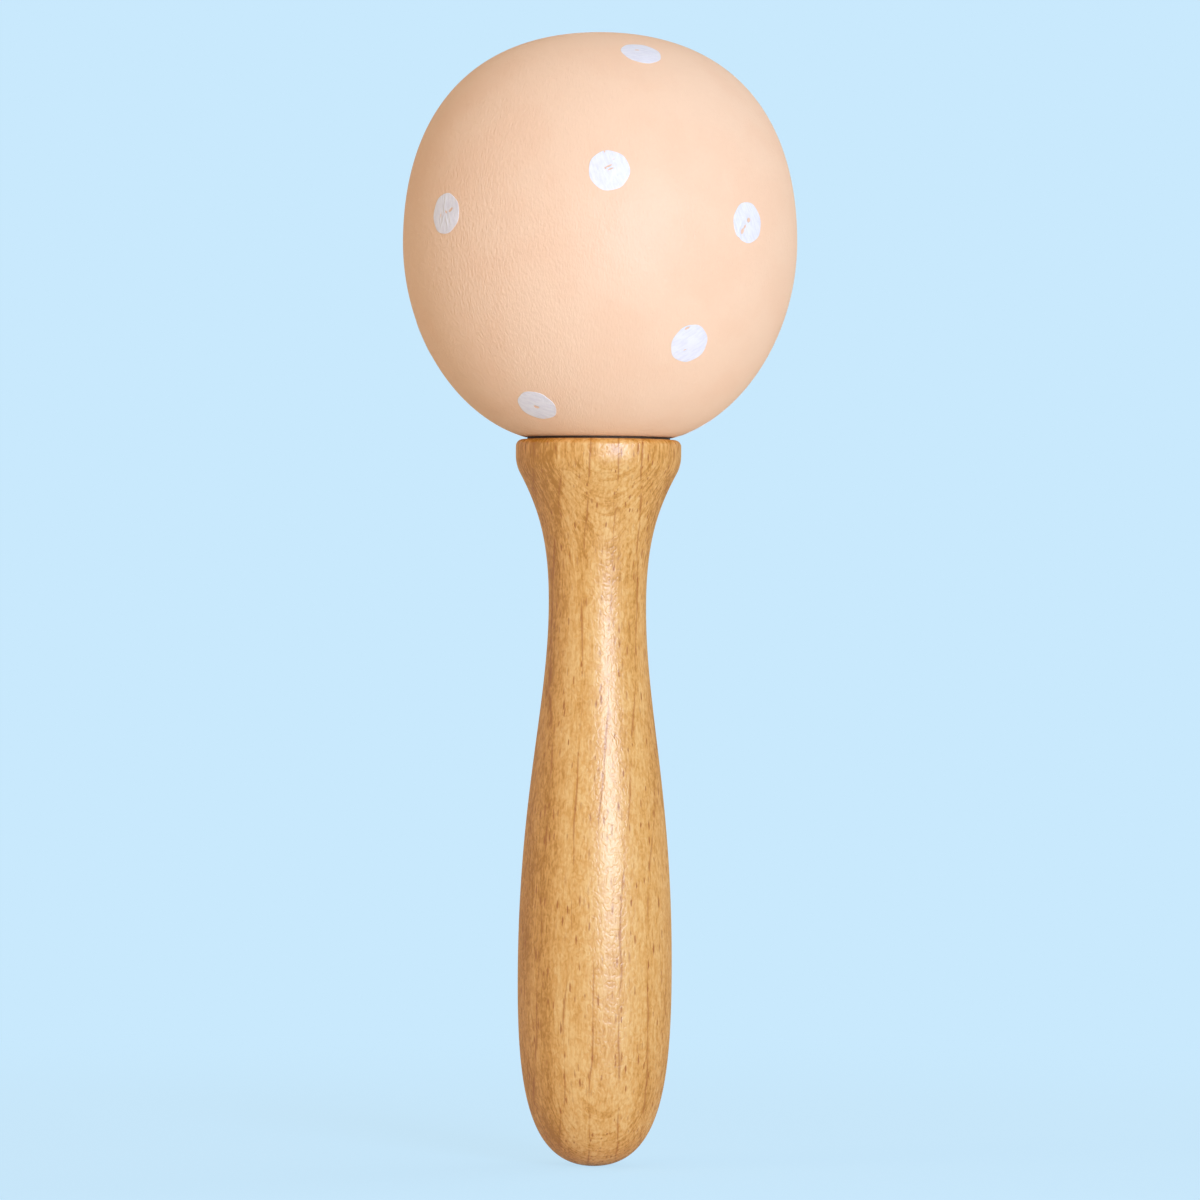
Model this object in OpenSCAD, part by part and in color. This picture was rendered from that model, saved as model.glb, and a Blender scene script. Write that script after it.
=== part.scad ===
// Turned wooden maraca: a hollow painted head with loose pellets in it, on a turned grip.
// Millimetres. +Z runs up the grip to the head, and -Y is the front.
// The origin is on the axis, at the widest circle of the grip's belly.

/* [Head] */
// Widest diameter of the head, at the seam of its two halves
head_d = 69.6; // [64:0.2:80]
// Height of the crown, from the seam to the top
crown_h = 37; // [32:0.5:44]
// Height of the bowl, from its foot to the seam
bowl_h = 34.4; // [31:0.2:42]
// Wall thickness of both halves
head_wall = 4.5; // [3:0.5:5.5]
// Thickness of the solid floor that takes the tenon
floor_t = 10; // [9:0.5:13]
// How far the foot's edge lies inside the edge of the collar's flat top
foot_inset = 0.3; // [0:0.1:1]
// Height of the shadow gap between the foot's edge and the collar
joint_gap = 0.4; // [0.2:0.1:1]
// How far the gap runs in, to the seat that stands on the collar
joint_depth = 0.5; // [0.3:0.1:3]

/* [Seam] */
// Height of the lip that centres the upper half on the lower half
lip_h = 2.5; // [1.5:0.5:4]
// Clearance beside the lip and over it
lip_clearance = 0.1; // [0.05:0.05:0.3]

/* [Painted dots] */
// Diameter of a dot
dot_d = 7.2; // [5:0.2:9]
// Thickness of the white paint
paint_t = 0.15; // [0.1:0.05:0.3]

/* [Collar] */
// Diameter of the collar's straight band
collar_d = 29.2; // [27:0.2:33]
// Height of the straight band
collar_band_h = 1.6; // [1:0.2:4]
// Radius of the collar's top edge
collar_edge_r = 1.2; // [0.6:0.2:2]
// How far the band stands out past the end of the flare
collar_swell = 0.8; // [0.4:0.1:1.2]

/* [Grip] */
// Height of the flare, from the neck to the collar's lower round
flare_h = 23.2; // [18:0.2:30]
// Diameter of the neck
neck_d = 17.2; // [15:0.2:20]
// Height from the widest circle of the belly to the neck
grip_h = 65; // [55:0.5:80]
// Diameter of the belly
belly_d = 27.2; // [22:0.2:29]
// Height of the rounded butt below the belly's widest circle
butt_h = 34; // [26:0.5:44]

/* [Tenon] */
// Diameter of the tenon on top of the grip
tenon_d = 12; // [8:0.5:15]
// Glue clearance between the tenon and its bore, on the radius
tenon_clearance = 0.1; // [0.05:0.05:0.3]
// Chamfer on the tenon's end
tenon_chamfer = 0.6; // [0.2:0.1:1.5]

/* [Pellets] */
// Number of loose pellets
pellet_count = 24; // [12:1:30]
// Diameter of a pellet
pellet_d = 4; // [3:0.2:4.6]
// Gap under a pellet at rest
pellet_rest_gap = 0.1; // [0.05:0.05:0.3]
// Gap left above a pellet at the top of its leap
pellet_leap_gap = 0.5; // [0.3:0.1:1]

/* [Hidden] */
$fn = 96;
cut_overrun = 1;
curve_steps = 22;
round_steps = 6;

head_r = head_d / 2;
collar_r = collar_d / 2;
neck_r = neck_d / 2;
belly_r = belly_d / 2;
tenon_r = tenon_d / 2;
flare_r = collar_r - collar_swell;
foot_r = collar_r - collar_edge_r - foot_inset;
seat_r = foot_r - joint_depth;
bore_r = tenon_r + tenon_clearance;

// Pulls of the flare's curve at the neck, and at the collar across and up
flare_neck_share = 0.44;
flare_across_share = 0.715;
flare_up_share = 0.3;
flare_angle = atan2((flare_r - neck_r) * flare_across_share, flare_h * flare_up_share);
// The collar's lower round leaves the flare at its angle and ends upright at the band
collar_round_r = collar_swell / (1 - cos(flare_angle));

neck_z = grip_h;
flare_z = neck_z + flare_h;
band_z = flare_z + collar_round_r * sin(flare_angle);
edge_z = band_z + collar_band_h;
collar_top_z = edge_z + collar_edge_r;
floor_z = collar_top_z + floor_t;
foot_z = collar_top_z + joint_gap;
seam_z = foot_z + bowl_h;
crown_z = seam_z + crown_h;
lip_z = seam_z + lip_h;

// Curves run up in [radius, height], from the first point to the last, with two pulls between
crown_side_share = 0.57;
crown_top_share = 0.7;
crown_curve = [
    [head_r, seam_z],
    [head_r, seam_z + crown_h * crown_side_share],
    [head_r * crown_top_share, crown_z],
    [0, crown_z]
];

bowl_foot_share = 0.58;
bowl_rise_share = 0.107;
bowl_side_share = 0.46;
bowl_curve = [
    [foot_r, foot_z],
    [foot_r + (head_r - foot_r) * bowl_foot_share, foot_z + bowl_h * bowl_rise_share],
    [head_r, seam_z - bowl_h * bowl_side_share],
    [head_r, seam_z]
];

butt_side_share = 0.57;
butt_end_share = 0.875;
butt_curve = [
    [0, -butt_h],
    [belly_r * butt_end_share, -butt_h],
    [belly_r, -butt_h * butt_side_share],
    [belly_r, 0]
];

grip_belly_share = 0.49;
grip_neck_share = 0.28;
grip_curve = [
    [belly_r, 0],
    [belly_r, grip_h * grip_belly_share],
    [neck_r, neck_z - grip_h * grip_neck_share],
    [neck_r, neck_z]
];

flare_curve = [
    [neck_r, neck_z],
    [neck_r, neck_z + flare_h * flare_neck_share],
    [flare_r - (flare_r - neck_r) * flare_across_share, flare_z - flare_h * flare_up_share],
    [flare_r, flare_z]
];

// Places of the dots: the turn from the front towards +X in degrees, then the share
// of the way up the crown's curve from the seam, or up the bowl's from the foot
crown_dot_shares = [
    [20.4, 0.666], [2.5, 0.177], [-50.6, 0.059], [47.3, 0.038],
    [106, 0.32], [-106, 0.34], [158, 0.1], [-158, 0.08], [-172, 0.6]
];
bowl_dot_shares = [
    [30.9, 0.579], [-29.3, 0.258], [-95, 0.62], [99, 0.13],
    [108, 0.8], [158, 0.38], [-150, 0.4]
];

// The pellets lie in a sunflower spiral, which keeps them evenly apart on a round floor
pellet_r = pellet_d / 2;
spiral_turn = 137.5;
spiral_share = 0.66;
spiral_step = pellet_d * spiral_share;
pellet_rest_z = floor_z + pellet_rest_gap + pellet_r;

function pellet_name(i) = str("pellet_", i < 10 ? "0" : "", i);

function curve_point(curve, t) =
    pow(1 - t, 3) * curve[0]
    + 3 * pow(1 - t, 2) * t * curve[1]
    + 3 * (1 - t) * pow(t, 2) * curve[2]
    + pow(t, 3) * curve[3];

function curve_heading(curve, t) =
    pow(1 - t, 2) * (curve[1] - curve[0])
    + 2 * (1 - t) * t * (curve[2] - curve[1])
    + pow(t, 2) * (curve[3] - curve[2]);

// Unit normal, which points out of the surface
function curve_normal(curve, t) =
    let (heading = curve_heading(curve, t))
    [heading[1], -heading[0]] / norm(heading);

// Points of a curve, moved in from its surface by a depth; first skips a shared end point
function curve_line(curve, depth = 0, first = 0) = [
    for (i = [first:curve_steps])
        let (t = i / curve_steps)
        curve_point(curve, t) - depth * curve_normal(curve, t)
];

function arc_line(centre, radius, from, to) = [
    for (i = [1:round_steps])
        let (turn = from + (to - from) * i / round_steps)
        centre + radius * [cos(turn), sin(turn)]
];

function spiral_r(i) = spiral_step * sqrt(i);

// Height that a pellet rises at its place before it comes near the crown
function pellet_travel(i) =
    lookup(spiral_r(i), curve_line(crown_curve, head_wall + pellet_r + pellet_leap_gap))
    - pellet_rest_z;

// Half section of the whole head, moved in from its surface by a depth
module head_outline(depth) {
    polygon(concat(
        [[0, foot_z]],
        curve_line(bowl_curve, depth),
        curve_line(crown_curve, depth, first = 1)
    ));
}

// Half section of the hollow, above the solid floor
module chamber_outline() {
    intersection() {
        head_outline(head_wall);
        translate([0, floor_z]) square([head_r, crown_z - floor_z]);
    }
}

module head_upper_shell() {
    rebate_r = head_r - head_wall / 2;
    color("#F8D2B0")
    rotate_extrude()
    difference() {
        polygon(concat([[0, seam_z]], curve_line(crown_curve)));
        chamber_outline();
        translate([0, seam_z - cut_overrun])
            square([rebate_r, cut_overrun + lip_h + lip_clearance]);
    }
}

module head_lower_shell() {
    lip_inner_r = head_r - head_wall;
    lip_outer_r = head_r - head_wall / 2 - lip_clearance;
    color("#F8D2B0")
    rotate_extrude()
    difference() {
        polygon(concat(
            [[0, collar_top_z], [seat_r, collar_top_z], [seat_r, foot_z]],
            curve_line(bowl_curve),
            [[lip_outer_r, seam_z], [lip_outer_r, lip_z], [0, lip_z]]
        ));
        chamber_outline();
        translate([0, seam_z]) square([lip_inner_r, lip_h + cut_overrun]);
        translate([0, collar_top_z - cut_overrun]) square([bore_r, floor_t + 2 * cut_overrun]);
    }
}

module handle() {
    color("#D9A562")
    rotate_extrude()
    polygon(concat(
        curve_line(butt_curve),
        curve_line(grip_curve, first = 1),
        curve_line(flare_curve, first = 1),
        arc_line([collar_r - collar_round_r, band_z], collar_round_r, -flare_angle, 0),
        [[collar_r, edge_z]],
        arc_line([collar_r - collar_edge_r, edge_z], collar_edge_r, 0, 90),
        [
            [tenon_r, collar_top_z],
            [tenon_r, floor_z - tenon_chamfer],
            [tenon_r - tenon_chamfer, floor_z],
            [0, floor_z]
        ]
    ));
}

// A short rod across the surface, square to it at the dot's place
module dot_rod(curve, place) {
    centre = curve_point(curve, place[1]);
    normal = curve_normal(curve, place[1]);
    rotate([0, 0, place[0] - 90])
    translate([centre[0], 0, centre[1]])
    rotate([0, atan2(normal[0], normal[1]), 0])
    cylinder(d = dot_d, h = 2 * cut_overrun, center = true);
}

module painted_dots() {
    color("#F2F4FD")
    intersection() {
        rotate_extrude()
        difference() {
            head_outline(-paint_t);
            head_outline(0);
        }
        union() {
            for (place = crown_dot_shares) dot_rod(crown_curve, place);
            for (place = bowl_dot_shares) dot_rod(bowl_curve, place);
        }
    }
}

module pellet(i) {
    color("silver")
    rotate([0, 0, i * spiral_turn])
    translate([spiral_r(i), 0, pellet_rest_z])
    sphere(d = pellet_d, $fn = 32);
}

echo(pellet_travels = [for (i = [1:pellet_count]) pellet_travel(i)]);

head_upper_shell();
head_lower_shell();
handle();
painted_dots();
for (i = [1:pellet_count])
    pellet(i);
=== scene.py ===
import math

import bpy
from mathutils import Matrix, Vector


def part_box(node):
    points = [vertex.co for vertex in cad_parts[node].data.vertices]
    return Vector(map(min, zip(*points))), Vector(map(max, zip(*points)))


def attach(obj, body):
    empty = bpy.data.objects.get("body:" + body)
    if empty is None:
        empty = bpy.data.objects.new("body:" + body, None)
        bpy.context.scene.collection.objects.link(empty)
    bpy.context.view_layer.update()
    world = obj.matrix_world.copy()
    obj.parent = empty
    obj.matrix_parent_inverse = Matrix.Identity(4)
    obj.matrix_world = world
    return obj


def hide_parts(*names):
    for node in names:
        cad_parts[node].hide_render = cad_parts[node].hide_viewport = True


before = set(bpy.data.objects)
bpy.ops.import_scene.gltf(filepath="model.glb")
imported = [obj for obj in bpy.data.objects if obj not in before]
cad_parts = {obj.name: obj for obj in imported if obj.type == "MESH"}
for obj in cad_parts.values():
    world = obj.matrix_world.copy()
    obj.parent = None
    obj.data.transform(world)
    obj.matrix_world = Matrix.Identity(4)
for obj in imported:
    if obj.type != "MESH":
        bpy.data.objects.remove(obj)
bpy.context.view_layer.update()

# Camera. A long lens, 1.2 m away, stands level with the middle of the maraca and takes in
# a square of 212 mm. It is rolled a little, so that the maraca leans to the right.
mm = 0.001
picture_side = 211.9 * mm
lens_length = 200
sensor_width = 36
camera_aim = Vector((0.45 * mm, 0, 65.9 * mm))
camera_roll = math.radians(0.42)

bpy.ops.object.camera_add(
    location=camera_aim - Vector((0, picture_side * lens_length / sensor_width, 0)),
    rotation=(math.radians(90), -camera_roll, 0),
)
camera = bpy.context.object
camera.name = "camera"
camera.data.lens = lens_length
camera.data.sensor_width = sensor_width
scene = bpy.context.scene
scene.camera = camera
scene.view_settings.view_transform = "Standard"

# Studio. The maraca stands on a wide pale blue floor whose colour runs on into the
# backdrop. Close to the maraca the floor is partly lit, so that it takes its shadow.
backdrop_blue = (0.584, 0.815, 0.983, 1)
fill_colour = (1, 0.92, 0.84, 1)
fill_strength = 0.43
floor_radius = 8
floor_sides = 96
paper_colour = (0.74, 1, 1.22, 1)
bounce_colour = (0.82, 0.73, 0.6, 1)
lit_share = 0.15
lit_radius = 0.05
unlit_radius = 0.35


def shader_node(tree, kind, inputs=None, **settings):
    """Adds a shader node. An input is a value, or another node's output to link to it."""
    made = tree.nodes.new(kind)
    for name, value in settings.items():
        setattr(made, name, value)
    for key, value in (inputs or {}).items():
        if isinstance(value, bpy.types.NodeSocket):
            tree.links.new(value, made.inputs[key])
        else:
            made.inputs[key].default_value = value
    return made


def maths(tree, operation, *values, clamp=False):
    """Adds a Math node and returns its output."""
    inputs = dict(enumerate(values))
    return shader_node(
        tree, "ShaderNodeMath", inputs, operation=operation, use_clamp=clamp
    ).outputs[0]


def vector_maths(tree, operation, *values):
    """Adds a Vector Math node and returns its output, a number or a vector."""
    inputs = dict(enumerate(values))
    made = shader_node(tree, "ShaderNodeVectorMath", inputs, operation=operation)
    return made.outputs["Value" if operation in ("LENGTH", "DOT_PRODUCT") else "Vector"]


def ranged(tree, value, given, wanted=(0, 1), smooth=True):
    """Maps a value from the given range to the wanted one, and holds it at the ends."""
    return shader_node(
        tree, "ShaderNodeMapRange",
        {
            "Value": value, "From Min": given[0], "From Max": given[1],
            "To Min": wanted[0], "To Max": wanted[1],
        },
        interpolation_type="SMOOTHSTEP" if smooth else "LINEAR",
    ).outputs[0]


def mixed_shader(tree, share, first, second):
    """Mixes two shaders, by the share of the second."""
    return shader_node(
        tree, "ShaderNodeMixShader", {0: share, 1: first.outputs[0], 2: second.outputs[0]}
    )


def seen_directly(tree):
    """One for rays that show the background: from the camera, a reflection or glass."""
    path = shader_node(tree, "ShaderNodeLightPath")
    mirrored = maths(tree, "MAXIMUM", path.outputs["Is Camera Ray"], path.outputs["Is Glossy Ray"])
    return maths(tree, "MAXIMUM", mirrored, path.outputs["Is Transmission Ray"])


def new_tree(block):
    """Empties a material's or a world's node tree and returns it."""
    block.use_nodes = True
    block.node_tree.nodes.clear()
    return block.node_tree


def new_material(name):
    """Returns a new material, its node tree, and the place on its piece."""
    material = bpy.data.materials.new(name)
    tree = new_tree(material)
    return material, tree, shader_node(tree, "ShaderNodeTexCoord").outputs["Object"]


world = bpy.data.worlds.new("studio")
world_tree = new_tree(world)
fill_light = shader_node(
    world_tree, "ShaderNodeBackground", {"Color": fill_colour, "Strength": fill_strength}
)
backdrop = shader_node(world_tree, "ShaderNodeBackground", {"Color": backdrop_blue, "Strength": 1})
world_mix = mixed_shader(world_tree, seen_directly(world_tree), fill_light, backdrop)
shader_node(world_tree, "ShaderNodeOutputWorld", {"Surface": world_mix.outputs[0]})
scene.world = world

bpy.ops.object.select_all(action="DESELECT")
bpy.ops.mesh.primitive_circle_add(
    vertices=floor_sides, radius=floor_radius, fill_type="NGON",
    location=(0, 0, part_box("handle")[0].z),
)
floor = bpy.context.object
floor.name = "floor"
floor_material, floor_tree, floor_place = new_material("pale blue floor")
floor_reach = vector_maths(floor_tree, "LENGTH", floor_place)
floor_lit = ranged(floor_tree, floor_reach, (unlit_radius, lit_radius), (0, lit_share))
floor_glow = shader_node(floor_tree, "ShaderNodeEmission", {"Color": backdrop_blue})
floor_paper = shader_node(floor_tree, "ShaderNodeBsdfDiffuse", {"Color": paper_colour})
floor_bounce = shader_node(floor_tree, "ShaderNodeBsdfDiffuse", {"Color": bounce_colour})
floor_seen = mixed_shader(floor_tree, floor_lit, floor_glow, floor_paper)
floor_mix = mixed_shader(floor_tree, seen_directly(floor_tree), floor_bounce, floor_seen)
shader_node(floor_tree, "ShaderNodeOutputMaterial", {"Surface": floor_mix.outputs[0]})
floor.data.materials.append(floor_material)


def softbox(name, azimuth, elevation, distance, width, height, watts, colour):
    """A flat lamp that faces the maraca. Azimuth 0 is behind the camera, 90 is to its right."""
    turn = math.radians(azimuth)
    rise = math.radians(elevation)
    direction = Vector(
        (math.sin(turn) * math.cos(rise), -math.cos(turn) * math.cos(rise), math.sin(rise))
    )
    bpy.ops.object.light_add(
        type="AREA",
        location=camera_aim + distance * direction,
        rotation=direction.to_track_quat("Z", "Y").to_euler(),
    )
    lamp = bpy.context.object
    lamp.name = name
    lamp.data.shape = "RECTANGLE"
    lamp.data.size = width
    lamp.data.size_y = height
    lamp.data.energy = watts
    lamp.data.color = colour
    lamp.visible_camera = False
    return lamp


softbox(
    "key", azimuth=24, elevation=9, distance=0.8, width=0.25, height=0.22,
    watts=3.8, colour=(0.82, 1, 1.28),
)
top_lamp = softbox(
    "top", azimuth=125, elevation=66, distance=1.6, width=0.6, height=1.2,
    watts=3.7, colour=(1, 0.92, 0.87),
)
left_lamp = softbox(
    "left", azimuth=-65, elevation=27, distance=1.6, width=0.6, height=1.2,
    watts=3.7, colour=(1.17, 0.85, 0.51),
)
for lamp in (top_lamp, left_lamp):
    lamp.visible_glossy = False

# Head. Two cups turned from pale wood, glued at a lip on the widest circle, and
# dipped in matt peach paint. The lower cup has a thick floor, bored for the grip.
head_low, head_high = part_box("head_upper_shell")
collar_top_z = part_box("head_lower_shell")[0].z
chamber_floor_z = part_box("handle")[1].z
joint_gap = 0.4 * mm
joint_depth = 0.5 * mm
head_r = head_high.x
crown_z = head_high.z
seam_z = head_low.z
foot_z = collar_top_z + joint_gap
crown_h = crown_z - seam_z
bowl_h = seam_z - foot_z
foot_r = 13.1 * mm
seat_r = foot_r - joint_depth
head_wall = 4.5 * mm
bore_r = 6.1 * mm
lip_h = 2.5 * mm
lip_clearance = 0.1 * mm
curve_steps = 48
turn_steps = 192
merge_distance = 0.001 * mm
sharp_angle = math.radians(35)

# Curves run up in (radius, height), from the first point to the last, with two pulls between
crown_side_share = 0.57
crown_top_share = 0.7
crown_curve = [
    (head_r, seam_z),
    (head_r, seam_z + crown_side_share * crown_h),
    (crown_top_share * head_r, crown_z),
    (0, crown_z),
]
bowl_foot_share = 0.58
bowl_rise_share = 0.107
bowl_side_share = 0.46
bowl_curve = [
    (foot_r, foot_z),
    (foot_r + bowl_foot_share * (head_r - foot_r), foot_z + bowl_rise_share * bowl_h),
    (head_r, seam_z - bowl_side_share * bowl_h),
    (head_r, seam_z),
]


def on_curve(curve, share):
    """The point at a share of the way along a curve, and the heading there."""
    start, start_pull, end_pull, end = (Vector(point) for point in curve)
    rest = 1 - share
    point = (
        rest ** 3 * start
        + 3 * rest * rest * share * start_pull
        + 3 * rest * share * share * end_pull
        + share ** 3 * end
    )
    heading = (
        rest * rest * (start_pull - start)
        + 2 * rest * share * (end_pull - start_pull)
        + share * share * (end - end_pull)
    )
    return point, heading.normalized()


def curve_line(curve, depth=0):
    """Points along a curve, sunk by a depth under its surface."""
    line = []
    for i in range(curve_steps + 1):
        point, heading = on_curve(curve, i / curve_steps)
        line.append(point - depth * Vector((heading.y, -heading.x)))
    return line


def turned(name, outline, closed=False):
    """Draws an outline of (radius, height) points by extruding, and spins it round."""
    bpy.ops.object.select_all(action="DESELECT")
    bpy.ops.mesh.primitive_plane_add(size=mm, enter_editmode=True)
    bpy.ops.mesh.merge(type="CENTER")
    start = outline[0]
    bpy.ops.transform.translate(value=(start[0], 0, start[1]))
    path = list(outline) + ([start] if closed else [])
    for here, there in zip(path, path[1:]):
        step = (there[0] - here[0], 0, there[1] - here[1])
        bpy.ops.mesh.extrude_region_move(TRANSFORM_OT_translate={"value": step})
    bpy.ops.mesh.select_all(action="SELECT")
    bpy.ops.mesh.remove_doubles(threshold=merge_distance)
    bpy.ops.mesh.spin(steps=turn_steps, angle=math.tau, center=(0, 0, 0), axis=(0, 0, 1))
    bpy.ops.mesh.select_all(action="SELECT")
    bpy.ops.mesh.remove_doubles(threshold=merge_distance)
    bpy.ops.mesh.normals_make_consistent(inside=False)
    bpy.ops.object.mode_set(mode="OBJECT")
    piece = bpy.context.object
    piece.name = name
    piece.data.name = name
    bpy.ops.object.shade_smooth_by_angle(angle=sharp_angle)
    return piece


rebate_r = head_r - head_wall / 2
rebate_z = seam_z + lip_h + lip_clearance
crown_inside = [point for point in curve_line(crown_curve, head_wall) if point.y > rebate_z]
bowl_inside = [point for point in curve_line(bowl_curve, head_wall) if point.y > chamber_floor_z]

upper_shell = turned(
    "upper_shell",
    curve_line(crown_curve)[::-1] + [(rebate_r, seam_z), (rebate_r, rebate_z)] + crown_inside,
)
lower_shell = turned(
    "lower_shell",
    [(bore_r, collar_top_z), (seat_r, collar_top_z), (seat_r, foot_z)]
    + curve_line(bowl_curve)
    + [
        (rebate_r - lip_clearance, seam_z),
        (rebate_r - lip_clearance, seam_z + lip_h),
        (head_r - head_wall, seam_z + lip_h),
    ]
    + bowl_inside[::-1]
    + [(bowl_inside[0].x, chamber_floor_z), (bore_r, chamber_floor_z)],
    closed=True,
)


def new_group(name, outputs):
    """Returns a new shader node group, which puts out numbers, and the place it is given."""
    group = bpy.data.node_groups.new(name, "ShaderNodeTree")
    group.interface.new_socket(name="Place", in_out="INPUT", socket_type="NodeSocketVector")
    for output in outputs:
        group.interface.new_socket(name=output, in_out="OUTPUT", socket_type="NodeSocketFloat")
    return group, group.nodes.new("NodeGroupInput").outputs["Place"]


def noise(tree, place, scale, detail=2.0, roughness=0.5):
    """Smooth noise about 0.5. The scale is in cells per metre."""
    return shader_node(
        tree, "ShaderNodeTexNoise",
        {"Vector": place, "Scale": scale, "Detail": detail, "Roughness": roughness},
    ).outputs["Fac"]


def mixed(tree, share, first, second):
    """Mixes two colours, by the share of the second."""
    return shader_node(
        tree, "ShaderNodeMix", {"Factor": share, "A": first, "B": second}, data_type="RGBA"
    ).outputs["Result"]


def bumped(tree, height, depth):
    """Adds a Bump node, whose heights are in units of the depth, and returns its normal."""
    return shader_node(
        tree, "ShaderNodeBump", {"Height": height, "Strength": 1, "Distance": depth}
    ).outputs[0]


def surfaced(tree, inputs):
    """Adds the shader of a material's surface and puts it out."""
    shader = shader_node(tree, "ShaderNodeBsdfPrincipled", inputs)
    shader_node(tree, "ShaderNodeOutputMaterial", {"Surface": shader.outputs[0]})


# The dried film of paint: short wrinkles that run down the ball, the way the wet paint
# drained from the crown to the foot, and faint cloudiness. The wrinkles fade at the crown,
# and are deepest on the left, where the film drained to and is thickest.
wrinkle_size = 0.33 * mm
wrinkle_draw = 2.4
wrinkle_start_r = 0.1 * head_r
wrinkle_full_r = 0.5 * head_r
thick_side = Vector((-1, 0, -0.2))
thin_reach = thick_side.z * seam_z + 4 * mm
thick_reach = thick_side.z * seam_z + 28 * mm
thin_depth = 0.8
thick_depth = 1.95
swell_size = wrinkle_size / 0.3
swell_depth = 0.5

skin_group, skin_place = new_group("paint skin", ("Height", "Cloud"))
skin_level = shader_node(skin_group, "ShaderNodeSeparateXYZ", {0: skin_place}).outputs["Z"]
outward = vector_maths(skin_group, "MULTIPLY", skin_place, (1, 1, 0))
around = vector_maths(skin_group, "NORMALIZE", outward)
from_axis = vector_maths(skin_group, "LENGTH", outward)
down_angle = maths(
    skin_group, "ARCTAN2", maths(skin_group, "SUBTRACT", skin_level, seam_z), from_axis
)
down = shader_node(
    skin_group, "ShaderNodeCombineXYZ",
    {"Z": maths(skin_group, "MULTIPLY", down_angle, head_r / wrinkle_draw)},
).outputs[0]
drained = vector_maths(skin_group, "MULTIPLY_ADD", around, (head_r, head_r, head_r), down)
wrinkles = noise(skin_group, drained, scale=1 / wrinkle_size, roughness=0.55)
wrinkles = maths(
    skin_group, "MULTIPLY", wrinkles,
    ranged(skin_group, from_axis, (wrinkle_start_r, wrinkle_full_r)),
)
thickness = ranged(
    skin_group, vector_maths(skin_group, "DOT_PRODUCT", skin_place, thick_side),
    (thin_reach, thick_reach), (thin_depth, thick_depth), smooth=False,
)
wrinkles = maths(skin_group, "MULTIPLY", wrinkles, thickness)
swells = noise(skin_group, skin_place, scale=1 / swell_size, detail=1.0)
skin_height = maths(skin_group, "MULTIPLY_ADD", swells, swell_depth, wrinkles)
clouds = noise(skin_group, skin_place, scale=90, detail=3.0)
shader_node(skin_group, "NodeGroupOutput", {"Height": skin_height, "Cloud": clouds})

peach = (0.955, 0.665, 0.465, 1)
peach_deep = (0.945, 0.64, 0.44, 1)
paint_material, paint_tree, paint_place = new_material("peach paint")
paint_skin = shader_node(
    paint_tree, "ShaderNodeGroup", {"Place": paint_place}, node_tree=skin_group
)
paint_cloud = ranged(paint_tree, paint_skin.outputs["Cloud"], (0.4, 0.65))
paint_bump = bumped(paint_tree, paint_skin.outputs["Height"], 0.13 * mm)
surfaced(
    paint_tree,
    {
        "Base Color": mixed(paint_tree, paint_cloud, peach, peach_deep),
        "Roughness": 0.55,
        "Diffuse Roughness": 0.2,
        "Specular IOR Level": 0,
        "Coat Weight": 0.12,
        "Coat IOR": 3,
        "Coat Roughness": 0.45,
        "Normal": paint_bump,
        "Coat Normal": paint_bump,
    },
)

# The figure of the wood, cut from a solid block. Growth rings stand across the width with
# a slight lean, and pores and fibres run up the grip. Painted shade darkens the grip's two
# sides, those facing left and right of the camera, most on the left, away from the key lamp.
# Thin layers lie across the depth, and show where the turning cuts through them steeply.
ring_width = 4.8 * mm
ring_shift = 0.2 * mm
ring_sway = 2.2 * mm
ring_lean = 0.036
ring_shade_depth = 0.12
ring_mark_share = 0.75
side_start = 0.36
left_side = 0.56
left_painted_shade = 0.34
right_side = 0.6
right_painted_shade = 0.16
pith_size = 2 * mm
layer_width = 0.36 * mm
layer_turn = math.radians(8)
layer_draw = (16, 1, 20)
layer_depth = 0.27
flare_layers = (62 * mm, 76 * mm)
butt_layers = (-10 * mm, -26 * mm)
pore_width = 0.8 * mm
pore_length = 3.6 * mm
pore_mark_share = 0.95
pores_by_rings = 0.35
mark_hollow = 0.3
curl_waves = 19
curl_tone = 0.12
curl_rise = 0.7
middle_tone = 0.58

wood_group, wood_place = new_group("wood figure", ("Tone", "Marks", "Height"))


def drawn_up(times):
    """The place in the wood, for a pattern drawn out along the grain by so many times."""
    return vector_maths(wood_group, "MULTIPLY", wood_place, (1, 1, 1 / times))


def varied(tone, pattern, amount):
    """Adds a pattern that runs about 0.5 to the tone, by an amount."""
    return maths(
        wood_group, "MULTIPLY_ADD", maths(wood_group, "SUBTRACT", pattern, 0.5), amount, tone
    )


across_rings = vector_maths(wood_group, "DOT_PRODUCT", wood_place, (1, 0, -ring_lean))
ring_wander = ranged(
    wood_group, noise(wood_group, drawn_up(2.5), scale=70, detail=3.0),
    (0, 1), (ring_shift - ring_sway, ring_shift + ring_sway), smooth=False,
)
ring_count = maths(
    wood_group, "DIVIDE", maths(wood_group, "ADD", across_rings, ring_wander), ring_width
)
ring_phase = maths(wood_group, "PINGPONG", ring_count, 0.5)
ring_gaps = noise(wood_group, drawn_up(4), scale=420)
ring_reach = ranged(wood_group, ring_gaps, (0.4, 0.66), (0.01, 0.06))
ring_line = maths(
    wood_group, "SUBTRACT", 1, maths(wood_group, "DIVIDE", ring_phase, ring_reach), clamp=True
)
ring_strength = ranged(wood_group, ring_gaps, (0.38, 0.6), (0.15, 1))
ring_mark = maths(wood_group, "MULTIPLY", ring_line, ring_strength)
ring_shade = ranged(wood_group, ring_phase, (0, 0.16), (1, 0))

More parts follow.
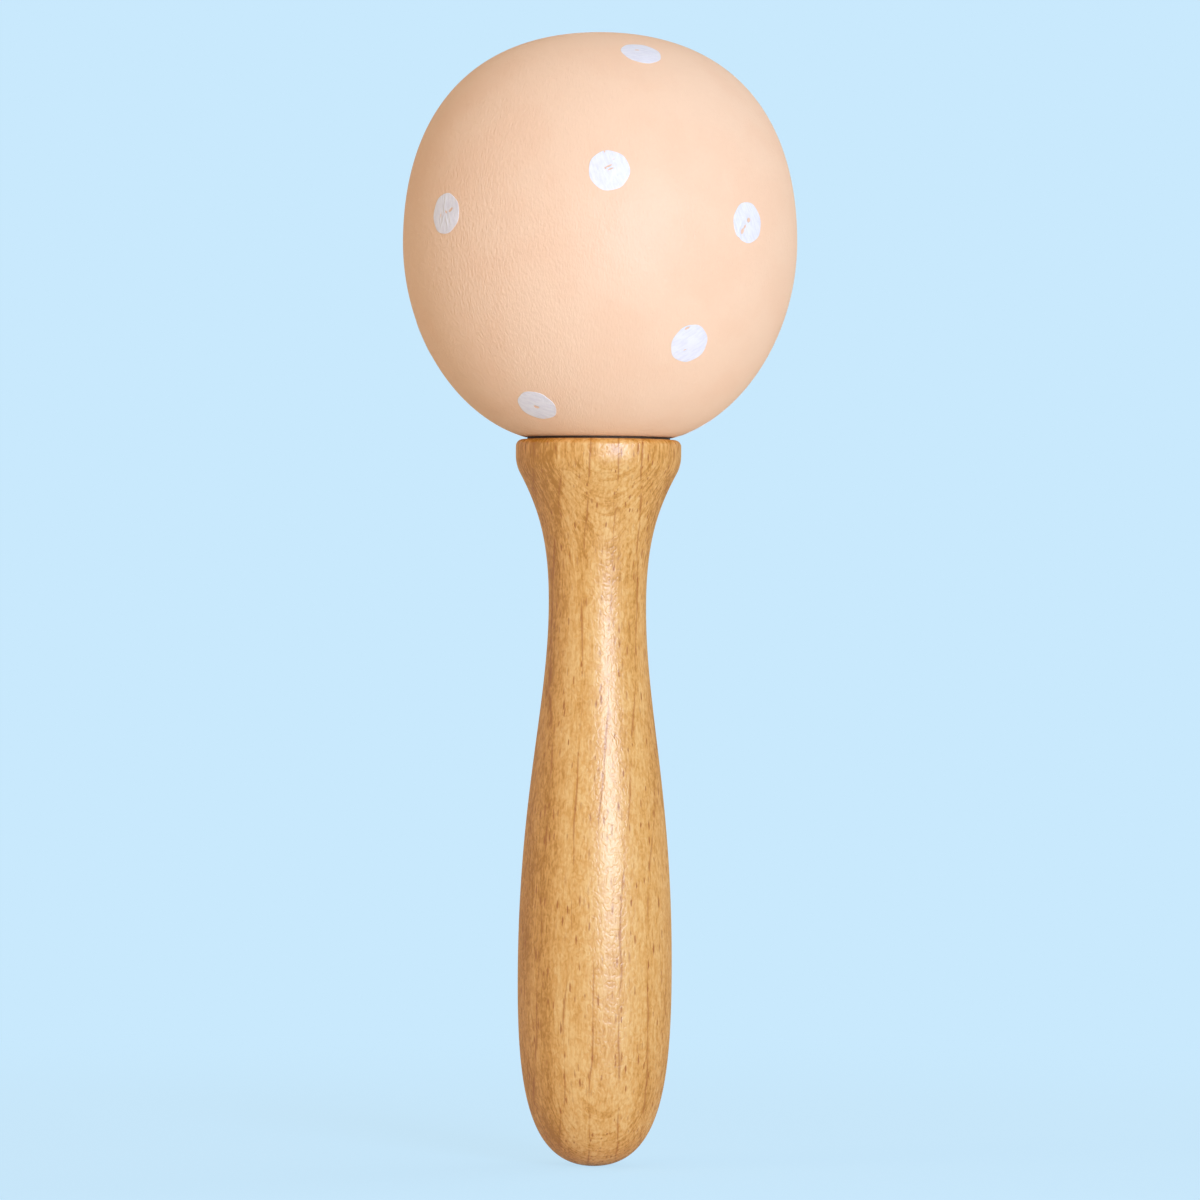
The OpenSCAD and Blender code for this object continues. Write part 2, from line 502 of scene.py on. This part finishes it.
wood_across, _, wood_level = shader_node(
    wood_group, "ShaderNodeSeparateXYZ", {0: wood_place}
).outputs
from_pith = vector_maths(
    wood_group, "LENGTH", vector_maths(wood_group, "MULTIPLY", wood_place, (1, 1, 0))
)
aside = maths(wood_group, "DIVIDE", wood_across, maths(wood_group, "ADD", from_pith, pith_size))
# Painted shade: the sides of the grip that face left and right are darkened, most on the left, as
# they fall into shade
painted_side_shade = maths(
    wood_group, "MAXIMUM",
    ranged(wood_group, aside, (-side_start, -left_side), (0, left_painted_shade)),
    ranged(wood_group, aside, (side_start, right_side), (0, right_painted_shade)),
)

layer_place = shader_node(
    wood_group, "ShaderNodeMapping",
    {"Vector": wood_place, "Rotation": (0, 0, layer_turn), "Scale": layer_draw},
    vector_type="TEXTURE",
).outputs[0]
layers = noise(wood_group, layer_place, scale=1 / layer_width)
layer_lines = ranged(wood_group, layers, (0.5, 0.6))
layer_share = maths(
    wood_group, "MAXIMUM",
    ranged(wood_group, wood_level, flare_layers),
    ranged(wood_group, wood_level, butt_layers),
)

pore_place = vector_maths(
    wood_group, "MULTIPLY", wood_place, (1 / pore_width, 1 / pore_width, 1 / pore_length)
)
pores = shader_node(
    wood_group, "ShaderNodeTexVoronoi", {"Vector": pore_place, "Scale": 1, "Randomness": 1}
)
pore_pick = shader_node(wood_group, "ShaderNodeSeparateColor", {0: pores.outputs["Color"]})
pore_edge = varied(
    pores.outputs["Distance"], noise(wood_group, drawn_up(3), scale=3000, detail=1.0), amount=0.3
)
pore_reach = ranged(wood_group, pore_pick.outputs[1], (0, 1), (0.2, 0.42), smooth=False)
pore_dash = ranged(wood_group, pore_edge, (pore_reach, 0.1))
pore_share = maths(wood_group, "MULTIPLY_ADD", ring_shade, pores_by_rings, pore_pick.outputs[0])
pore_mark = maths(wood_group, "MULTIPLY", pore_dash, ranged(wood_group, pore_share, (0.15, 0.9)))

long_streaks = noise(wood_group, drawn_up(8), scale=230, detail=3.0, roughness=0.6)
short_streaks = noise(wood_group, drawn_up(2), scale=260, detail=3.0)
fibres = noise(wood_group, drawn_up(6), scale=2200, detail=3.0, roughness=0.75)
curl_field = noise(wood_group, drawn_up(1.4), scale=1000, detail=1.0)
curl = maths(wood_group, "SINE", maths(wood_group, "MULTIPLY", curl_field, curl_waves))

wood_tone = varied(middle_tone, long_streaks, amount=0.9)
wood_tone = varied(wood_tone, short_streaks, amount=0.55)
wood_tone = varied(wood_tone, fibres, amount=1.6)
wood_tone = varied(
    wood_tone, maths(wood_group, "MULTIPLY", layer_lines, layer_share), amount=-layer_depth
)
wood_tone = maths(wood_group, "MULTIPLY_ADD", curl, curl_tone, wood_tone)
# The painted shade on the grip's sides darkens the tone
wood_tone = maths(wood_group, "SUBTRACT", wood_tone, painted_side_shade)
wood_tone = maths(wood_group, "MULTIPLY_ADD", ring_shade, -ring_shade_depth, wood_tone, clamp=True)
wood_marks = maths(
    wood_group, "MAXIMUM",
    maths(wood_group, "MULTIPLY", ring_mark, ring_mark_share),
    maths(wood_group, "MULTIPLY", pore_mark, pore_mark_share),
)
wood_height = maths(wood_group, "MULTIPLY_ADD", wood_marks, -mark_hollow, fibres)
wood_height = maths(wood_group, "MULTIPLY_ADD", curl, curl_rise, wood_height)
shader_node(
    wood_group, "NodeGroupOutput", {"Tone": wood_tone, "Marks": wood_marks, "Height": wood_height}
)


def wood_colour(tree, figure, low, middle, high, mark):
    """The figure of the wood between three tones, with its marks in a fourth."""
    ramp = shader_node(tree, "ShaderNodeValToRGB", {"Fac": figure.outputs["Tone"]})
    ramp.color_ramp.elements[0].color = low
    ramp.color_ramp.elements[1].color = high
    ramp.color_ramp.elements.new(0.5).color = middle
    return mixed(tree, figure.outputs["Marks"], ramp.outputs["Color"], mark)


raw_material, raw_tree, raw_place = new_material("raw pale wood")
raw_figure = shader_node(raw_tree, "ShaderNodeGroup", {"Place": raw_place}, node_tree=wood_group)
surfaced(
    raw_tree,
    {
        "Base Color": wood_colour(
            raw_tree, raw_figure,
            low=(0.58, 0.38, 0.20, 1), middle=(0.72, 0.52, 0.31, 1), high=(0.83, 0.65, 0.44, 1),
            mark=(0.42, 0.24, 0.10, 1),
        ),
        "Roughness": 0.8,
        "Normal": bumped(raw_tree, raw_figure.outputs["Height"], 0.04 * mm),
    },
)

# The line in the gap is partly glue and partly painted shade: near black, as dark as the shadow in
# the gap
shade_glue_dark = (0.035, 0.018, 0.008, 1)
shade_glue_brown = (0.10, 0.05, 0.02, 1)
glue_and_shade_material, glue_and_shade_tree, glue_and_shade_place = new_material("glue line and painted shade")
glue_and_shade_clouds = noise(glue_and_shade_tree, glue_and_shade_place, scale=700)
surfaced(
    glue_and_shade_tree,
    {"Base Color": mixed(glue_and_shade_tree, glue_and_shade_clouds, shade_glue_dark, shade_glue_brown), "Roughness": 0.7},
)

# The gap under the head shows glue, painted near black as the shade that falls in the gap, and the
# insides and the lip are raw wood
shell_materials = [paint_material, raw_material, glue_and_shade_material]
shaded_gap_top_z = foot_z + 0.01 * mm
least_slope = 0.001
for shell, node in ((upper_shell, "head_upper_shell"), (lower_shell, "head_lower_shell")):
    for material in shell_materials:
        shell.data.materials.append(material)
    for face in shell.data.polygons:
        faces_out = face.normal.xy.dot(face.center.xy.normalized()) > least_slope
        on_lip = shell == lower_shell and face.center.z > seam_z
        # Faces in the gap under the head get the glue with painted shade
        if face.center.z < shaded_gap_top_z:
            face.material_index = shell_materials.index(glue_and_shade_material)
        elif not faces_out or on_lip:
            face.material_index = shell_materials.index(raw_material)
    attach(shell, "shaker")
    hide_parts(node)

# Dots. Dabs of white paint, pressed on with a round stamp once the peach paint was dry.
# The stamp left bare specks and scratches in them, and the skin underneath shows through.
dot_r = 3.6 * mm
dot_rings = 20
dot_spokes = 84
dot_bed = 0.03 * mm
dot_height = 0.06 * mm
dot_waver = 0.013
rim_width = 0.03 * mm

# Each dot: turn from the front, share of the way along its curve, lean of its smears from
# upright, and its marks. A mark: place across and up, half length and half width in dot
# radii, turn, and strength. Above zero the paint is bare there, and below zero it is thick.
crown_dots = [
    (20.4, 0.666, 80, [
        (-0.14, 0.25, 0.16, 0.06, 0, 0.9), (0.3, 0.05, 0.3, 0.04, -20, -0.6),
        (0.1, -0.3, 0.3, 0.12, 0, -0.6),
    ]),
    (2.5, 0.177, 20, [
        (-0.02, 0.2, 0.19, 0.045, 25, 1.2), (0.06, 0.06, 0.17, 0.045, 25, 1.1),
        (-0.18, 0.1, 0.05, 0.07, 25, 1.1), (0.22, 0.54, 0.06, 0.035, 20, 0.9),
        (-0.23, 0.92, 0.04, 0.08, 0, 1.2), (0.1, -0.3, 0.3, 0.1, 70, -0.6),
        (0.45, -0.25, 0.1, 0.08, 0, -0.7),
    ]),
    (-50.6, 0.059, 4, [
        (-0.36, -0.08, 0.32, 0.11, 82, 0.55), (0.06, 0.07, 0.11, 0.055, -40, 1.1),
        (0.4, 0.17, 0.2, 0.07, 35, 1.1), (-0.1, 0.45, 0.4, 0.06, 86, -1),
        (-0.2, -0.35, 0.35, 0.06, 70, -1), (0.14, -0.4, 0.35, 0.06, -70, -0.8),
        (0.4, -0.3, 0.3, 0.08, -65, -0.6),
    ]),
    (47.3, 0.038, 25, [
        (0.05, 0.13, 0.13, 0.11, 45, 1.3), (-0.22, -0.2, 0.2, 0.1, 55, 0.7),
        (-0.4, -0.42, 0.22, 0.13, 55, 0.9), (-0.66, -0.76, 0.17, 0.06, -40, 0.8),
        (-0.5, -0.15, 0.35, 0.05, 62, -0.8), (0.15, -0.35, 0.3, 0.2, 0, -0.5),
    ]),
    (106, 0.32, -15, [(0.1, -0.1, 0.12, 0.06, 30, 1), (0, 0.3, 0.3, 0.1, 20, -0.7)]),
    (-106, 0.34, 40, [(-0.15, 0.2, 0.2, 0.06, -40, 0.8), (0.4, -0.4, 0.06, 0.06, 0, 0.9)]),
    (158, 0.1, 0, [(0.05, 0.05, 0.1, 0.08, 0, 1.1), (-0.2, -0.3, 0.3, 0.12, 60, -0.7)]),
    (-158, 0.08, 70, [(0.25, 0.1, 0.15, 0.05, 70, 0.9), (-0.8, 0.35, 0.12, 0.06, 60, 1)]),
    (-172, 0.6, 30, [(-0.05, -0.15, 0.1, 0.1, 0, 1.1), (0.2, 0.2, 0.3, 0.08, 45, -0.7)]),
]
bowl_dots = [
    (30.9, 0.579, -55, [
        (-0.35, 0.8, 0.17, 0.06, 28, 1.1), (-0.18, -0.33, 0.14, 0.05, 20, 0.7),
        (0.14, 0.03, 0.3, 0.25, 60, -1.2), (-0.35, -0.5, 0.3, 0.06, -30, -0.6),
    ]),
    (-29.3, 0.258, 62, [(-0.02, -0.05, 0.14, 0.1, -30, 1.3), (0.1, -0.92, 0.2, 0.05, 0, 0.6)]),
    (-95, 0.62, 0, [(0.1, 0, 0.12, 0.06, 50, 1), (-0.2, 0.2, 0.3, 0.07, 80, -0.8)]),
    (99, 0.13, 50, [(0, 0.1, 0.1, 0.1, 0, 1)]),
    (108, 0.8, -30, [(-0.1, 0.1, 0.15, 0.06, -20, 1), (0.3, 0.85, 0.1, 0.06, -15, 1)]),
    (158, 0.38, 15, [(0.15, -0.1, 0.1, 0.07, 0, 1.1), (0, 0.3, 0.25, 0.1, 0, -0.7)]),
    (-150, 0.4, 75, [(0, 0.05, 0.08, 0.12, 20, 1.1), (-0.5, -0.3, 0.2, 0.05, 50, 0.7)]),
]

bpy.ops.object.select_all(action="DESELECT")
bpy.ops.mesh.primitive_circle_add(
    vertices=dot_spokes, radius=dot_r, fill_type="NGON", enter_editmode=True
)
for _ in range(dot_rings - 1):
    bpy.ops.mesh.inset(thickness=dot_r / dot_rings)
bpy.ops.mesh.poke()
bpy.ops.object.mode_set(mode="OBJECT")
stamp = bpy.context.object
stamp.name = "dot_stamp"


def turned_by(across, up, angle):
    """A place in a dot, seen by axes that are turned by an angle in degrees."""
    turn = math.radians(angle)
    return (
        across * math.cos(turn) + up * math.sin(turn),
        up * math.cos(turn) - across * math.sin(turn),
    )


def bareness(across, up, marks):
    """How bare or thick the paint is at a place in a dot, from the marks near it."""
    bare = thick = 0
    for mark_across, mark_up, length, width, angle, strength in marks:
        along, beside = turned_by(across - mark_across, up - mark_up, angle)
        shape = strength * math.exp(-((along / length) ** 2 + (beside / width) ** 2))
        bare = max(bare, shape)
        thick = min(thick, shape)
    return bare if bare > -thick else thick


def shape_dab(dab, number, lean, marks):
    """Wavers a dab's edge, and lays its marks and the direction of its smears on it."""
    bare_values = dab.data.attributes.new("bare", "FLOAT", "POINT").data
    for vertex in dab.data.vertices:
        across, up = vertex.co.x / dot_r, vertex.co.y / dot_r
        bare_values[vertex.index].value = bareness(across, up, marks)
        bearing = math.atan2(up, across)
        waver = math.sin(3 * bearing + number) + math.sin(7 * bearing + 2 * number)
        reach = math.hypot(across, up)
        vertex.co *= 1 + dot_waver * reach ** 4 * (waver - 1)
    smears = dab.data.uv_layers.new(name="dab").data
    for loop in dab.data.loops:
        spot = dab.data.vertices[loop.vertex_index].co / dot_r
        across, up = turned_by(spot.x, spot.y, lean)
        smears[loop.index].uv = (across + 5 * number, up)


dabs = []
for curve, places in ((crown_curve, crown_dots), (bowl_curve, bowl_dots)):
    for angle, share, lean, marks in places:
        bpy.ops.object.select_all(action="DESELECT")
        stamp.select_set(True)
        bpy.context.view_layer.objects.active = stamp
        bpy.ops.object.duplicate()
        dab = bpy.context.object
        shape_dab(dab, len(dabs), lean, marks)
        point, heading = on_curve(curve, share)
        turn = math.radians(angle)
        rise = math.atan2(-heading.x, heading.y)
        dab.location = (point.x * math.sin(turn), -point.x * math.cos(turn), point.y)
        dab.rotation_euler = (math.radians(90) - rise, 0, turn)
        bpy.ops.object.transform_apply()
        dabs.append(dab)
bpy.data.objects.remove(stamp)

# The dabs are bedded in the ball, and then raised from it, so that no gap shows under them
head_form = turned("head_form", curve_line(bowl_curve) + curve_line(crown_curve)[1:])
bpy.ops.object.select_all(action="DESELECT")
for dab in dabs:
    dab.select_set(True)
dots = bpy.context.view_layer.objects.active = dabs[0]
bpy.ops.object.join()
dots.name = "dots"
dots.data.name = "dots"
bedded = dots.modifiers.new("bedded", "SHRINKWRAP")
bedded.target = head_form
bedded.wrap_method = "NEAREST_SURFACEPOINT"
bedded.wrap_mode = "ABOVE_SURFACE"
bedded.offset = -dot_bed
bpy.ops.object.modifier_apply(modifier="bedded")
raised = dots.modifiers.new("raised", "SOLIDIFY")
raised.thickness = dot_bed + dot_height
raised.offset = 1
raised.use_even_offset = True
bpy.ops.object.modifier_apply(modifier="raised")
rim = dots.modifiers.new("rim", "BEVEL")
rim.width = rim_width
rim.segments = 2
rim.angle_limit = math.radians(60)
bpy.ops.object.modifier_apply(modifier="rim")
bpy.ops.object.shade_smooth_by_angle(angle=math.radians(50))
bpy.data.objects.remove(head_form)

white = (0.90, 0.885, 0.95, 1)
white_thin = (0.81, 0.79, 0.88, 1)
white_bare = (0.92, 0.61, 0.43, 1)
edge_raggedness = 0.6
thick_cover = 0.6
streak_rise = 2.4
thick_rise = 2.4
bare_hollow = 1.5
white_material, white_tree, white_place = new_material("white dot paint")
white_skin = shader_node(
    white_tree, "ShaderNodeGroup", {"Place": white_place}, node_tree=skin_group
)
dab_place = shader_node(white_tree, "ShaderNodeUVMap", uv_map="dab").outputs[0]
dab_streaks = noise(
    white_tree, vector_maths(white_tree, "MULTIPLY", dab_place, (7, 1.8, 1)),
    scale=1, detail=3.0, roughness=0.6,
)
bare_marks = shader_node(white_tree, "ShaderNodeAttribute", attribute_name="bare").outputs["Fac"]
thick_marks = maths(white_tree, "MULTIPLY", bare_marks, -1, clamp=True)
crumbs = maths(white_tree, "SUBTRACT", noise(white_tree, white_place, scale=3500), 0.5)
ragged = maths(white_tree, "MULTIPLY_ADD", crumbs, edge_raggedness, bare_marks)
bare_mask = maths(
    white_tree, "MULTIPLY",
    ranged(white_tree, ragged, (0.3, 0.65)), ranged(white_tree, bare_marks, (0.1, 0.7)),
)
thin_share = maths(
    white_tree, "MULTIPLY_ADD",
    thick_marks, -thick_cover, ranged(white_tree, dab_streaks, (0.35, 0.7)), clamp=True,
)
white_tone = mixed(white_tree, thin_share, white, white_thin)
white_relief = maths(
    white_tree, "MULTIPLY_ADD", dab_streaks, streak_rise, white_skin.outputs["Height"]
)
white_relief = maths(white_tree, "MULTIPLY_ADD", thick_marks, thick_rise, white_relief)
white_relief = maths(white_tree, "MULTIPLY_ADD", bare_mask, -bare_hollow, white_relief)
surfaced(
    white_tree,
    {
        "Base Color": mixed(white_tree, bare_mask, white_tone, white_bare),
        "Roughness": 0.5,
        "Specular IOR Level": 0.6,
        "Normal": bumped(white_tree, white_relief, 0.05 * mm),
    },
)
dots.data.materials.append(white_material)
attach(dots, "shaker")
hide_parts("painted_dots")

# Grip. One length of honey-coloured hardwood, turned, sanded and lacquered, with a
# collar under the head and a tenon above it that is glued into the head's floor.
butt_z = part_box("handle")[0].z
collar_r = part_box("handle")[1].x
collar_edge_r = 1.2 * mm
collar_band_h = 1.6 * mm
collar_swell = 0.8 * mm
belly_r = 13.6 * mm
neck_r = 8.6 * mm
neck_z = 65 * mm
flare_h = 23.2 * mm
flare_z = neck_z + flare_h
flare_r = collar_r - collar_swell
tenon_r = 6 * mm
tenon_chamfer = 0.6 * mm

butt_end_share = 0.875
butt_side_share = 0.57
butt_curve = [
    (0, butt_z),
    (butt_end_share * belly_r, butt_z),
    (belly_r, butt_side_share * butt_z),
    (belly_r, 0),
]
grip_belly_share = 0.49
grip_neck_share = 0.72
grip_curve = [
    (belly_r, 0),
    (belly_r, grip_belly_share * neck_z),
    (neck_r, grip_neck_share * neck_z),
    (neck_r, neck_z),
]
flare_neck_share = 0.44
flare_across_share = 0.715
flare_up_share = 0.3
flare_curve = [
    (neck_r, neck_z),
    (neck_r, neck_z + flare_neck_share * flare_h),
    (flare_r - flare_across_share * (flare_r - neck_r), flare_z - flare_up_share * flare_h),
    (flare_r, flare_z),
]
flare_heading = on_curve(flare_curve, 1)[1]
flare_angle = math.atan2(flare_heading.x, flare_heading.y)
collar_round_r = collar_swell / (1 - math.cos(flare_angle))
band_z = flare_z + collar_round_r * math.sin(flare_angle)
edge_z = band_z + collar_band_h


def arc_line(centre, radius, from_angle, to_angle, steps=12):
    """Points of an arc, without its first one."""
    turns = [from_angle + (to_angle - from_angle) * i / steps for i in range(1, steps + 1)]
    return [Vector(centre) + radius * Vector((math.cos(a), math.sin(a))) for a in turns]


grip = turned(
    "grip",
    curve_line(butt_curve)
    + curve_line(grip_curve)[1:]
    + curve_line(flare_curve)[1:]
    + arc_line((collar_r - collar_round_r, band_z), collar_round_r, -flare_angle, 0)
    + [Vector((collar_r, edge_z))]
    + arc_line((collar_r - collar_edge_r, edge_z), collar_edge_r, 0, math.pi / 2)
    + [
        (tenon_r, collar_top_z),
        (tenon_r, chamber_floor_z - tenon_chamfer),
        (tenon_r - tenon_chamfer, chamber_floor_z),
        (0, chamber_floor_z),
    ],
)

grip_material, grip_tree, grip_place = new_material("lacquered hardwood")
grip_figure = shader_node(
    grip_tree, "ShaderNodeGroup", {"Place": grip_place}, node_tree=wood_group
)
grip_bump = bumped(grip_tree, grip_figure.outputs["Height"], 0.02 * mm)
surfaced(
    grip_tree,
    {
        "Base Color": wood_colour(
            grip_tree, grip_figure,
            low=(0.49, 0.19, 0.004, 1), middle=(0.74, 0.357, 0.077, 1),
            high=(0.88, 0.525, 0.185, 1), mark=(0.42, 0.12, 0, 1),
        ),
        "Roughness": 0.5,
        "Specular IOR Level": 0,
        "Coat Weight": 0.28,
        "Coat IOR": 3,
        "Coat Roughness": 0.39,
        "Normal": grip_bump,
        "Coat Normal": grip_bump,
    },
)
grip.data.materials.append(grip_material)
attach(grip, "shaker")
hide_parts("handle")

# Pellets. Small steel balls, tumbled smooth and a little dulled, that lie loose on the
# floor of the closed head. Their CAD nodes have the right shape and keep it.
steel_bright = (0.62, 0.62, 0.61, 1)
steel_dull = (0.42, 0.41, 0.40, 1)
steel_material, steel_tree, steel_place = new_material("tumbled steel")
steel_wear = noise(steel_tree, steel_place, scale=900, detail=4.0, roughness=0.6)
steel_dulled = ranged(steel_tree, steel_wear, (0.35, 0.7))
steel_scuffs = noise(
    steel_tree, vector_maths(steel_tree, "MULTIPLY", steel_place, (1, 1, 0.2)), scale=5000
)
surfaced(
    steel_tree,
    {
        "Base Color": mixed(steel_tree, steel_dulled, steel_bright, steel_dull),
        "Metallic": 1,
        "Roughness": ranged(steel_tree, steel_wear, (0.3, 0.7), (0.22, 0.42)),
        "Normal": bumped(steel_tree, steel_scuffs, 0.004 * mm),
    },
)
for name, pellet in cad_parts.items():
    if name.startswith("pellet_"):
        pellet.data.materials.clear()
        pellet.data.materials.append(steel_material)
